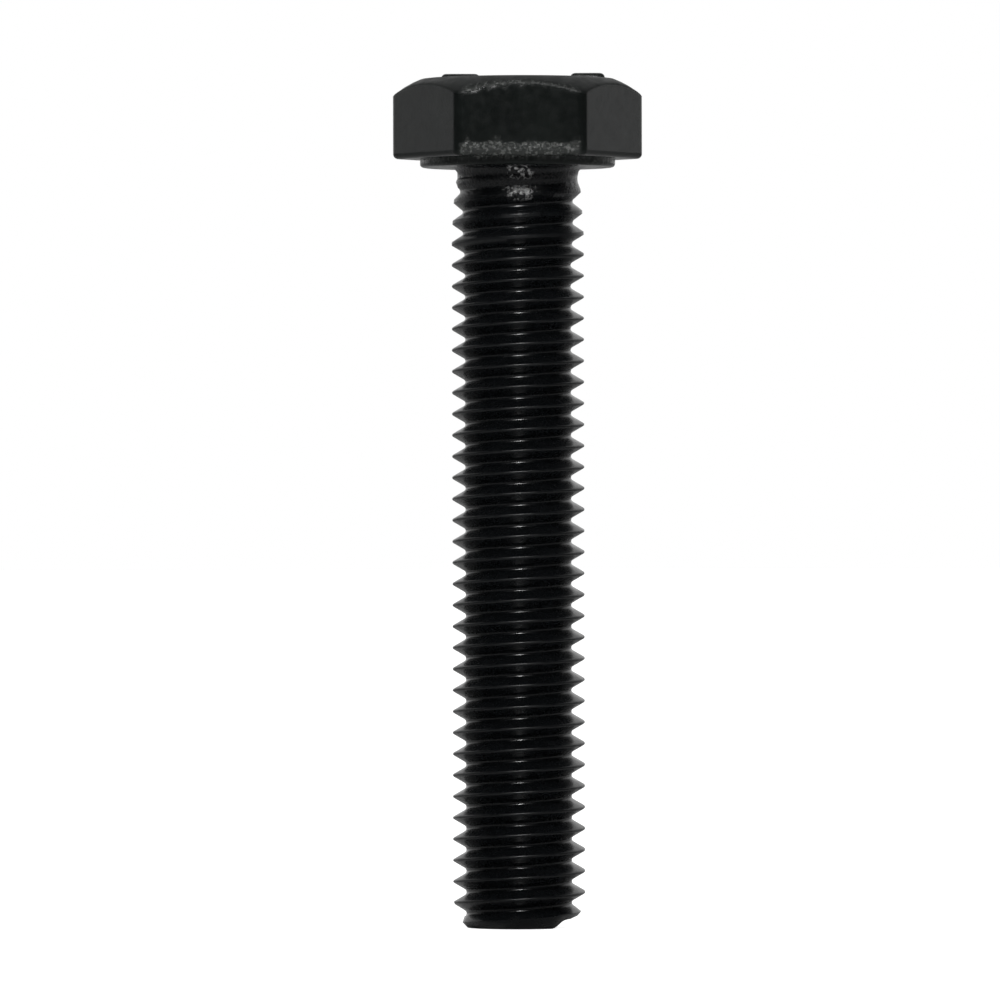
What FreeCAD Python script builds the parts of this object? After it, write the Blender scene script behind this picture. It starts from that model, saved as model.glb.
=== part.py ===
import FreeCAD, Part
import math
import os
import Sketcher

# Hex head bolt, M8 x 1.25, threaded up to its head, in millimetres.
# The row frame: the origin is the centre of the bearing face under the head, +Z runs along
# the bolt's axis towards the head, and the shank points down to its tip. Two of the head's
# six flats face +Y and -Y, and two of its corners lie on the X axis.
# A bolt is cold-formed from one length of wire and then rolled with its thread, so it is
# one piece of steel and one body here.

SIZES = (
    ("across_flats", 12.88, "distance between opposite flats of the head"),
    ("corner_rounding", 0.70, "radius on the six upright corners of the head"),
    ("head_height", 5.21, "bearing face to the top of the head"),
    ("edge_rounding", 0.30, "radius round the lower edge of the hexagon"),
    ("chamfer_circle", 11.25, "diameter of the flat top inside the chamfer"),
    ("chamfer_angle", 30.0, "degrees between the head's chamfer and its top"),
    ("chamfer_reach", 8.50, "radius that the chamfering cut reaches out to"),
    ("washer_diameter", 11.50, "diameter of the washer face"),
    ("washer_height", 0.50, "bearing face to the underside of the hexagon"),
    ("washer_rounding", 0.22, "radius on the rim of the washer face"),
    ("mark_width", 0.90, "width of each plain raised mark on the head"),
    ("low_mark_inner", 2.20, "axis to the inner end of the lower mark"),
    ("low_mark_outer", 4.50, "axis to the outer end of the lower mark"),
    ("low_mark_rise", 0.30, "height of the lower mark"),
    ("high_mark_inner", 3.10, "axis to the inner end of the higher mark"),
    ("high_mark_outer", 5.15, "axis to the outer end of the higher mark"),
    ("high_mark_rise", 0.35, "height of the higher mark"),
    ("neck_diameter", 7.07, "diameter of the rolling blank, left bare under the head"),
    ("neck_length", 0.60, "bearing face to where the thread begins to rise"),
    ("neck_fillet", 0.50, "radius between the neck and the bearing face"),
    ("full_thread_start", 4.00, "bearing face to the first crest of full height"),
    ("major_diameter", 7.78, "diameter over the thread's crests"),
    ("pitch_diameter", 7.07, "diameter where ridge and groove are equally wide"),
    ("root_rounding", 0.15, "radius in the bottom of the groove"),
    ("thread_pitch", 1.25, "axial distance from crest to crest"),
    ("thread_angle", 60.0, "degrees between the two flanks of the groove"),
    ("groove_start", 1.99, "bearing face to the full groove's middle on the +X side"),
    ("groove_turns", 36.0, "turns of full groove, enough to pass the tip"),
    ("runout_turns", 1.5, "turns in which the groove fades out into the neck"),
    ("runout_angle", 13.0, "degrees between the axis and the fading groove"),
    ("cutter_clearance", 0.10, "how far the groove's cutter stands outside the crests"),
    ("shank_length", 44.70, "bearing face to the tip"),
    ("point_diameter", 6.10, "diameter of the flat end"),
    ("point_chamfer", 0.40, "height and width of the 45 degree chamfer on the end"),
    ("point_taper", 1.60, "tip to the last crest of full height"),
)

NODE = "hex_bolt"
HEXAGON = 6
# A sketch names its own origin as geometry -1, whose vertex 1 is the origin and whose line
# is the horizontal axis, and its vertical axis as geometry -2.
ORIGIN = (-1, 1)
HORIZONTAL = -1
VERTICAL = -2
START, END, CENTRE = 1, 2, 3
SAME_MM = 1e-4
LEAST_GROOVE_SHARE = 0.9


def make_sheet(doc):
    """The spreadsheet of driving dimensions, one aliased cell for each."""
    sheet = doc.addObject("Spreadsheet::Sheet", "Sizes")
    for row, (alias, value, meaning) in enumerate(SIZES, start=1):
        sheet.set(f"A{row}", meaning)
        sheet.set(f"B{row}", str(value))
        sheet.setAlias(f"B{row}", alias)
    doc.recompute()
    return sheet


def origin_feature(body, role):
    """The plane or axis with this role in the body's own origin."""
    return next(f for f in body.Origin.OriginFeatures if f.Role == role)


def new_sketch(body, name, role, lift=None):
    """A sketch on one of the body's origin planes, moved off it by the expression lift."""
    sketch = body.newObject("Sketcher::SketchObject", name)
    sketch.AttachmentSupport = [(origin_feature(body, role), "")]
    sketch.MapMode = "FlatFace"
    if lift:
        sketch.setExpression("AttachmentOffset.Base.z", lift)
    return sketch


def dimension(sketch, kind, places, value, expression):
    """Add one dimension with its first value, and bind it to the sheet."""
    index = sketch.addConstraint(Sketcher.Constraint(kind, *places, value))
    sketch.setExpression(f"Constraints[{index}]", expression)


def place_vertex(sketch, geometry, vertex, point):
    """Pin a vertex at two expressions; the text 0 puts it on an axis of the sketch."""
    for kind, axis, expression in zip(("DistanceX", "DistanceY"), (VERTICAL, HORIZONTAL), point):
        if expression == "0":
            sketch.addConstraint(Sketcher.Constraint("PointOnObject", geometry, vertex, axis))
        else:
            value = sketch.evalExpression(expression)
            dimension(sketch, kind, (*ORIGIN, geometry, vertex), value, expression)


def closed_outline(sketch, points):
    """A closed run of straight lines through points that are each two expressions."""
    values = [FreeCAD.Vector(*(sketch.evalExpression(e) for e in p), 0) for p in points]
    following = values[1:] + values[:1]
    for start, end in zip(values, following):
        sketch.addGeometry(Part.LineSegment(start, end), False)
    for line in range(len(points)):
        after = (line + 1) % len(points)
        sketch.addConstraint(Sketcher.Constraint("Coincident", line, END, after, START))
        place_vertex(sketch, line, START, points[line])


def hexagon(sketch, across_flats):
    """A regular hexagon about the origin, two corners on the sketch's horizontal axis."""
    corner_radius = f"{across_flats} / (2 * cos(30))"
    radius = sketch.evalExpression(corner_radius)
    turns = [math.radians(60 * corner) for corner in range(HEXAGON)]
    corners = [FreeCAD.Vector(radius * math.cos(a), radius * math.sin(a), 0) for a in turns]
    for start, end in zip(corners, corners[1:] + corners[:1]):
        sketch.addGeometry(Part.LineSegment(start, end), False)
    round_corners = Part.Circle(FreeCAD.Vector(), FreeCAD.Vector(0, 0, 1), radius)
    circle = sketch.addGeometry(round_corners, True)
    sketch.addConstraint(Sketcher.Constraint("Coincident", circle, CENTRE, *ORIGIN))
    for line in range(HEXAGON):
        after = (line + 1) % HEXAGON
        sketch.addConstraint(Sketcher.Constraint("Coincident", line, END, after, START))
        sketch.addConstraint(Sketcher.Constraint("PointOnObject", line, START, circle))
    for line in range(1, HEXAGON):
        sketch.addConstraint(Sketcher.Constraint("Equal", 0, line))
    sketch.addConstraint(Sketcher.Constraint("PointOnObject", 0, START, HORIZONTAL))
    dimension(sketch, "Radius", (circle,), radius, corner_radius)


def edges_where(shape, wanted):
    """Names of the edges of a shape for which wanted(edge) is true."""
    return [f"Edge{n}" for n, edge in enumerate(shape.Edges, start=1) if wanted(edge)]


def round_edges(body, name, base, wanted, radius):
    """A fillet on the edges of the last feature for which wanted(edge) is true."""
    fillet = body.newObject("PartDesign::Fillet", name)
    fillet.Base = (base, edges_where(base.Shape, wanted))
    fillet.setExpression("Radius", radius)
    return fillet


def make_head(doc, body, sheet):
    """The hexagon: a pad with rounded corners, its top chamfer and its rounded lower edge."""
    outline = new_sketch(body, "HexagonOutline", "XY_Plane", "Sizes.washer_height")
    hexagon(outline, "Sizes.across_flats")
    pad = body.newObject("PartDesign::Pad", "Hexagon")
    pad.Profile = (outline, [""])
    pad.setExpression("Length", "Sizes.head_height - Sizes.washer_height")
    doc.recompute()

    def upright(edge):
        return edge.BoundBox.XLength < SAME_MM and edge.BoundBox.YLength < SAME_MM

    corners = round_edges(body, "RoundedCorners", pad, upright, "Sizes.corner_rounding")
    doc.recompute()

    # The chamfer is a cone about the axis: a triangle outside the top circle is turned away.
    triangle = new_sketch(body, "ChamferTriangle", "XZ_Plane")
    reach = "(Sizes.chamfer_reach - Sizes.chamfer_circle / 2)"
    closed_outline(triangle, (
        ("Sizes.chamfer_circle / 2", "Sizes.head_height"),
        ("Sizes.chamfer_reach", "Sizes.head_height"),
        ("Sizes.chamfer_reach", f"Sizes.head_height - {reach} * tan(Sizes.chamfer_angle)"),
    ))
    chamfer = body.newObject("PartDesign::Groove", "TopChamfer")
    chamfer.Profile = (triangle, [""])
    chamfer.ReferenceAxis = (origin_feature(body, "Z_Axis"), [""])
    doc.recompute()
    if chamfer.Shape.Volume >= corners.Shape.Volume:
        raise RuntimeError("the head's chamfer cut nothing")

    def lower(edge):
        box = edge.BoundBox
        return box.ZLength < SAME_MM and abs(box.ZMin - sheet.washer_height) < SAME_MM

    round_edges(body, "RoundedLowerEdge", chamfer, lower, "Sizes.edge_rounding")
    doc.recompute()


def make_marks(doc, body):
    """Two plain raised bars on the head, one towards -X and a higher one towards +X."""
    for name, side in (("low", "-1"), ("high", "1")):
        sketch = new_sketch(body, f"{name.title()}MarkOutline", "XY_Plane", "Sizes.head_height")
        inner = f"{side} * Sizes.{name}_mark_inner"
        outer = f"{side} * Sizes.{name}_mark_outer"
        closed_outline(sketch, (
            (inner, "-Sizes.mark_width / 2"),
            (outer, "-Sizes.mark_width / 2"),
            (outer, "Sizes.mark_width / 2"),
            (inner, "Sizes.mark_width / 2"),
        ))
        mark = body.newObject("PartDesign::Pad", f"{name.title()}Mark")
        mark.Profile = (sketch, [""])
        mark.setExpression("Length", f"Sizes.{name}_mark_rise")
        doc.recompute()


def make_shank(doc, body, sheet):
    """Washer face, neck, thread blank and chamfered point, turned in one revolution."""
    outline = new_sketch(body, "ShankOutline", "XZ_Plane")
    closed_outline(outline, (
        ("0", "Sizes.washer_height"),
        ("Sizes.washer_diameter / 2", "Sizes.washer_height"),
        ("Sizes.washer_diameter / 2", "0"),
        ("Sizes.neck_diameter / 2", "0"),
        ("Sizes.neck_diameter / 2", "-Sizes.neck_length"),
        ("Sizes.major_diameter / 2", "-Sizes.full_thread_start"),
        ("Sizes.major_diameter / 2", "-(Sizes.shank_length - Sizes.point_taper)"),
        ("Sizes.point_diameter / 2 + Sizes.point_chamfer",
         "-(Sizes.shank_length - Sizes.point_chamfer)"),
        ("Sizes.point_diameter / 2", "-Sizes.shank_length"),
        ("0", "-Sizes.shank_length"),
    ))
    turned = body.newObject("PartDesign::Revolution", "TurnedShank")
    turned.Profile = (outline, [""])
    turned.ReferenceAxis = (origin_feature(body, "Z_Axis"), [""])
    doc.recompute()

    def circle_on_bearing_face(edge, diameter):
        box = edge.BoundBox
        flat = abs(box.ZMin) < SAME_MM and abs(box.ZMax) < SAME_MM
        return flat and abs(box.XMax - diameter / 2) < SAME_MM

    neck = round_edges(
        body, "NeckFillet", turned,
        lambda edge: circle_on_bearing_face(edge, sheet.neck_diameter), "Sizes.neck_fillet",
    )
    doc.recompute()
    rim = round_edges(
        body, "WasherRim", neck,
        lambda edge: circle_on_bearing_face(edge, sheet.washer_diameter),
        "Sizes.washer_rounding",
    )
    doc.recompute()
    return rim


def groove_outline(body):
    """Section of the thread's groove on the +X side: two flanks and a round root."""
    sketch = new_sketch(body, "GrooveOutline", "XZ_Plane")
    # Ridge and groove are equally wide at the pitch diameter, which places the groove's
    # sharp point; the round root touches both flanks a little further out.
    half = "(Sizes.thread_angle / 2)"
    point = f"(Sizes.pitch_diameter / 2 - Sizes.thread_pitch / (4 * tan{half}))"
    touch_x = f"({point} + Sizes.root_rounding * (1 / sin{half} - sin{half}))"
    touch_y = f"(Sizes.root_rounding * cos{half})"
    outer_x = "(Sizes.major_diameter / 2 + Sizes.cutter_clearance)"
    outer_y = f"({touch_y} + ({outer_x} - {touch_x}) * tan{half})"
    corners = (
        (outer_x, f"-Sizes.groove_start - {outer_y}"),
        (touch_x, f"-Sizes.groove_start - {touch_y}"),
        (touch_x, f"-Sizes.groove_start + {touch_y}"),
        (outer_x, f"-Sizes.groove_start + {outer_y}"),
    )
    low_out, low_in, high_in, high_out = (
        FreeCAD.Vector(*(sketch.evalExpression(e) for e in corner), 0) for corner in corners
    )
    radius = sketch.evalExpression("Sizes.root_rounding")
    bottom = sketch.evalExpression(f"{point} + Sizes.root_rounding * (1 / sin{half} - 1)")
    middle = FreeCAD.Vector(bottom, (low_in.y + high_in.y) / 2, 0)
    lower = sketch.addGeometry(Part.LineSegment(low_out, low_in))
    root = sketch.addGeometry(Part.Arc(high_in, middle, low_in))
    upper = sketch.addGeometry(Part.LineSegment(high_in, high_out))
    mouth = sketch.addGeometry(Part.LineSegment(high_out, low_out))
    place_vertex(sketch, lower, START, corners[0])
    place_vertex(sketch, lower, END, corners[1])
    place_vertex(sketch, upper, START, corners[2])
    place_vertex(sketch, upper, END, corners[3])
    for first, first_vertex, second, second_vertex in (
        (lower, END, root, END),
        (root, START, upper, START),
        (upper, END, mouth, START),
        (mouth, END, lower, START),
    ):
        sketch.addConstraint(
            Sketcher.Constraint("Coincident", first, first_vertex, second, second_vertex)
        )
    dimension(sketch, "Radius", (root,), radius, "Sizes.root_rounding")
    return sketch


def cut_groove(doc, body, name, outline, turns, angle, downwards):
    """Sweep the groove's section along a right-handed helix and take it away."""
    groove = body.newObject("PartDesign::SubtractiveHelix", name)
    groove.Profile = (outline, [""])
    groove.ReferenceAxis = (origin_feature(body, "Z_Axis"), [""])
    groove.Mode = "pitch-turns-angle"
    groove.LeftHanded = False
    groove.Reversed = downwards
    groove.setExpression("Pitch", "Sizes.thread_pitch")
    groove.setExpression("Turns", turns)
    if angle:
        groove.setExpression("Angle", angle)
    doc.recompute()
    return groove


def make_thread(doc, body):
    """The rolled thread: a full groove down past the tip, and its run-out up to the neck."""
    outline = groove_outline(body)
    doc.recompute()
    full = cut_groove(doc, body, "ThreadGroove", outline, "Sizes.groove_turns", None, True)
    runout = cut_groove(
        doc, body, "GrooveRunout", outline, "Sizes.runout_turns", "Sizes.runout_angle", False,
    )
    return full, runout


def turn_volume(sheet):
    """Volume that one turn of the full groove takes from a blank of the major diameter."""
    half = math.radians(sheet.thread_angle / 2)
    sharp_depth = (sheet.major_diameter - sheet.pitch_diameter) / 2
    sharp_depth += sheet.thread_pitch / (4 * math.tan(half))
    area = sharp_depth ** 2 * math.tan(half)
    centroid = sheet.major_diameter / 2 - sharp_depth / 3
    return area * 2 * math.pi * centroid


def check_groove(sheet, blank, full, runout):
    """Compare what the thread's two cuts took away with the groove's own volume."""
    turns = (sheet.shank_length - sheet.groove_start) / sheet.thread_pitch
    expected = turns * turn_volume(sheet)
    taken = blank.Shape.Volume - full.Shape.Volume
    if not LEAST_GROOVE_SHARE < taken / expected < 1 / LEAST_GROOVE_SHARE:
        raise RuntimeError(f"the groove took {taken:.1f} mm3, not about {expected:.1f} mm3")
    if runout.Shape.Volume >= full.Shape.Volume:
        raise RuntimeError("the groove's run-out cut nothing")


def check_document(doc):
    """Stop if any object of the document failed."""
    for thing in doc.Objects:
        if "Invalid" in thing.State or "Error" in thing.State:
            raise RuntimeError(f"{thing.Name} failed: {thing.State}")


def check_shape(body):
    """Stop unless the body is one valid closed solid."""
    shape = body.Shape
    if shape.isNull() or not shape.isValid() or len(shape.Solids) != 1:
        raise RuntimeError(f"{body.Label} is not one valid solid")
    if not shape.Solids[0].isClosed():
        raise RuntimeError(f"{body.Label} is not closed")


def main():
    doc = FreeCAD.newDocument("HexBolt")
    sheet = make_sheet(doc)
    body = doc.addObject("PartDesign::Body", "Bolt")
    body.Label = NODE
    body.Placement = FreeCAD.Placement()
    make_head(doc, body, sheet)
    make_marks(doc, body)
    blank = make_shank(doc, body, sheet)
    full, runout = make_thread(doc, body)
    doc.recompute()

    check_document(doc)
    check_groove(sheet, blank, full, runout)
    check_shape(body)
    os.makedirs("parts", exist_ok=True)
    body.Shape.exportStep(os.path.join("parts", f"{body.Label}.step"))
    print(f"{body.Label}: {body.Shape.Volume:.1f} mm3, {len(body.Shape.Faces)} faces")


main()
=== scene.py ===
import sys
import logging
import math
from dataclasses import dataclass, field
from enum import Enum
from typing import Iterable, Optional, Sequence

import bpy
import numpy as np
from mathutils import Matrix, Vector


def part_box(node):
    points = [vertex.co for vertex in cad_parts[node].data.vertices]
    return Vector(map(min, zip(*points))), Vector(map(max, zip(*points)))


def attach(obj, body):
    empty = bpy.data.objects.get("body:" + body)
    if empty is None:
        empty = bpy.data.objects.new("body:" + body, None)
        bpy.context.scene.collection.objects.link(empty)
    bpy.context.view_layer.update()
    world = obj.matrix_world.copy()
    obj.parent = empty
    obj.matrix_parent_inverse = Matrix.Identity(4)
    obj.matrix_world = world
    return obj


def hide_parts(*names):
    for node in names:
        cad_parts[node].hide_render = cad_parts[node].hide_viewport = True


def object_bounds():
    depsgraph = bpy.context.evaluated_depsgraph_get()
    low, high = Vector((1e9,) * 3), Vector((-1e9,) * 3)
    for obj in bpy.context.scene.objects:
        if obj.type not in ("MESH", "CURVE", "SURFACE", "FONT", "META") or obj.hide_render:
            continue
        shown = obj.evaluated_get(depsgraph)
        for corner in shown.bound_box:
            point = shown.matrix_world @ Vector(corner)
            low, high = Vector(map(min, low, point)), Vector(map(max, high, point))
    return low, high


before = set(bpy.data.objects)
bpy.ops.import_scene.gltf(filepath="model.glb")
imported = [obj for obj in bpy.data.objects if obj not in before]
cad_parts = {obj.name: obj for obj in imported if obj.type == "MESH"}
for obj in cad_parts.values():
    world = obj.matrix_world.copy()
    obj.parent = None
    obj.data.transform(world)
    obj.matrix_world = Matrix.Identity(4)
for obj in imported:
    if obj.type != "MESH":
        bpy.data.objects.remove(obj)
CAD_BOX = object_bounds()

# The finished looks of a blackened M8 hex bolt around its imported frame. The bolt is one
# piece of steel, so it is one closed mesh: the head is a stack of rings, and the shank is a
# sheet whose rows climb with the thread, so that every crest and root is a row of its own.
# Sizes are in millimetres until a mesh is made, which is in metres like the frame. MARGIN
# keeps the head's outline just inside the CAD model's box, and FLOOR_GAP keeps the floor
# clear of the flat end. In metres, RELIEF is the height of a full bump in a finish, and
# AIM_ABOVE_MIDDLE is how far above the bolt's middle the lights aim.

LOG = logging.getLogger("hex_bolt")
MM = 0.001
FULL_TURN = 2.0 * math.pi
FLATS = 6
HALF_FLAT = math.pi / FLATS
NODE = "hex_bolt"
BODY = "root"
MARGIN = 0.002
RELIEF = 0.00005
FLOOR_GAP = 0.02
AIM_ABOVE_MIDDLE = 0.008
SHARP_EDGE = math.radians(50.0)
HIGH_MARK_RISE = 0.35


class Surface(Enum):
    """How a stretch of the bolt was made, in the order of the mesh's material slots."""

    FORGED = 0
    ROLLED = 1
    CROPPED = 2


class Kind(Enum):
    """Socket types of the node groups."""

    COLOUR = "NodeSocketColor"
    NUMBER = "NodeSocketFloat"
    VECTOR = "NodeSocketVector"


class Mask(Enum):
    """Vertex attributes that the finishes read."""

    # Torn steel, and also painted sheen on the washer face's sides and on the raised marks.
    TORN_AND_SHEEN = "torn_steel"
    DULL = "dull_oxide"
    NECK = "neck_scale"
    # Painted glints: bright specks where the light would glint.
    PAINTED_GLINT = "bright_specks"


# ---- shapes as whole arrays


def smooth_min(first: np.ndarray, second: np.ndarray, blend: np.ndarray) -> np.ndarray:
    """The smaller of two surfaces, with the corner between them rounded off.

    Where they differ by less than blend, a parabola of depth blend / 4 joins them.

    Args:
        first: heights of one surface.
        second: heights of the other, of a shape that fits the first.
        blend: the difference below which the corner is rounded.

    Returns:
        The rounded minimum.
    """
    closeness = np.maximum(blend - np.abs(first - second), 0.0) / blend
    return np.minimum(first, second) - closeness ** 2 * blend / 4.0


def smooth_step(low: float, high: float, value: np.ndarray) -> np.ndarray:
    """A rise from 0 at low to 1 at high, level at both ends: 3 t^2 - 2 t^3."""
    share = np.clip((value - low) / (high - low), 0.0, 1.0)
    return share * share * (3.0 - 2.0 * share)


def cell_values(cells: np.ndarray, seed: float) -> np.ndarray:
    """A fixed random number from -1 to 1 for each whole-number cell of space.

    Args:
        cells: whole numbers, three in the last axis.
        seed: another pattern for another seed.

    Returns:
        One number for each cell.
    """
    mixed = cells @ np.array([127.1, 311.7, 74.7]) + seed * 19.19
    return 2.0 * np.modf(np.abs(np.sin(mixed) * 43758.5453))[0] - 1.0


def noise(points: np.ndarray, grain: float, seed: float) -> np.ndarray:
    """Smooth random heights in space: cell values blended between the eight nearest corners.

    Args:
        points: places in millimetres, three in the last axis.
        grain: size of one cell in millimetres.
        seed: another pattern for another seed.

    Returns:
        Heights from -1 to 1, one for each place.
    """
    scaled = points / grain
    corner = np.floor(scaled)
    share = scaled - corner
    share = share * share * (3.0 - 2.0 * share)
    total = np.zeros(points.shape[:-1])
    for step in np.ndindex(2, 2, 2):
        weight = np.where(np.array(step) == 1, share, 1.0 - share).prod(axis=-1)
        total += weight * cell_values(corner + np.array(step), seed)
    return total


def around(radius: np.ndarray, angle: np.ndarray, height: np.ndarray) -> np.ndarray:
    """Places at a radius and an angle about the axis: (r cos a, r sin a, z)."""
    radius, angle, height = np.broadcast_arrays(radius, angle, height)
    return np.stack((radius * np.cos(angle), radius * np.sin(angle), height), axis=-1)


def ring_quads(rings: np.ndarray) -> np.ndarray:
    """Four-sided faces between neighbouring closed rings.

    Args:
        rings: vertex numbers, one row for each ring.

    Returns:
        Faces as rows of four vertex numbers.
    """
    turned = np.roll(rings, -1, axis=1)
    faces = np.stack((rings[:-1], turned[:-1], turned[1:], rings[1:]), axis=-1)
    return faces.reshape(-1, 4)


def pole_fan(ring: np.ndarray, pole: int) -> np.ndarray:
    """Triangles from a closed ring to one vertex at its middle."""
    return np.stack((ring, np.roll(ring, -1), np.full_like(ring, pole)), axis=-1)


def stitch(near: np.ndarray, near_keys: np.ndarray, far: np.ndarray,
           far_keys: np.ndarray) -> np.ndarray:
    """Triangles between two closed loops that have different numbers of vertices.

    Each edge carries a key, which is its place round the axis. An edge of one loop makes a
    triangle with the vertex that the other loop has reached at the same key.

    Args:
        near: vertex numbers of one loop.
        near_keys: rising keys, one for each edge of near.
        far: vertex numbers of the other loop.
        far_keys: rising keys, one for each edge of far.

    Returns:
        Triangles as rows of three vertex numbers, that face as ring_quads(near, far) do.
    """
    near, far = np.append(near, near[0]), np.append(far, far[0])
    reached_far = far[np.searchsorted(far_keys, near_keys)]
    reached_near = near[np.searchsorted(near_keys, far_keys)]
    from_near = np.stack((near[:-1], near[1:], reached_far), axis=-1)
    from_far = np.stack((far[1:], far[:-1], reached_near), axis=-1)
    return np.concatenate((from_near, from_far))


@dataclass
class MeshParts:
    """Vertices and faces gathered from the stretches of one closed surface."""

    places: list = field(default_factory=list)
    faces: list = field(default_factory=list)
    kinds: list = field(default_factory=list)
    count: int = 0

    def add_places(self, places: np.ndarray) -> np.ndarray:
        """Take in vertices, in millimetres, and return their numbers in the same shape."""
        size = int(np.prod(places.shape[:-1]))
        numbers = np.arange(self.count, self.count + size).reshape(places.shape[:-1])
        self.places.append(places.reshape(-1, 3))
        self.count += size
        return numbers

    def add_faces(self, faces: np.ndarray, kind: Surface) -> None:
        """Take in faces, as rows of vertex numbers, that have this finish."""
        self.faces.append(faces)
        self.kinds.append(np.full(len(faces), kind.value, dtype=np.int32))

    def mesh(self, name: str) -> bpy.types.Mesh:
        """Write everything into one mesh of this name, in metres and shaded smooth."""
        mesh = bpy.data.meshes.new(name)
        corners = np.concatenate([faces.ravel() for faces in self.faces])
        sizes = np.concatenate([np.full(len(f), f.shape[1]) for f in self.faces])
        starts = np.concatenate(([0], np.cumsum(sizes)[:-1]))
        mesh.vertices.add(self.count)
        mesh.vertices.foreach_set("co", (np.concatenate(self.places) * MM).ravel())
        mesh.loops.add(len(corners))
        mesh.loops.foreach_set("vertex_index", corners)
        mesh.polygons.add(len(sizes))
        mesh.polygons.foreach_set("loop_start", starts)
        mesh.polygons.foreach_set("material_index", np.concatenate(self.kinds))
        mesh.update(calc_edges=True)
        mesh.validate()
        mesh.shade_smooth()
        mesh.set_sharp_from_angle(angle=SHARP_EDGE)
        return mesh


def add_object(name: str, data: bpy.types.ID) -> bpy.types.Object:
    """Make an object of a mesh, a light or a camera, and put it into the scene."""
    made = bpy.data.objects.new(name, data)
    bpy.context.scene.collection.objects.link(made)
    return made


def show(mesh: bpy.types.Mesh, finishes: Iterable[bpy.types.Material]) -> bpy.types.Object:
    """Put a mesh into the scene as one piece of the bolt.

    Args:
        mesh: the finished mesh, in metres.
        finishes: its materials, in the order of its material slots.

    Returns:
        The new object, which rides on the bolt's body.
    """
    for finish in finishes:
        mesh.materials.append(finish)
    piece = add_object(mesh.name, mesh)
    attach(piece, BODY)
    LOG.info("%s: %d vertices, %d faces", piece.name, len(mesh.vertices), len(mesh.polygons))
    return piece


# ---- the head


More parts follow.
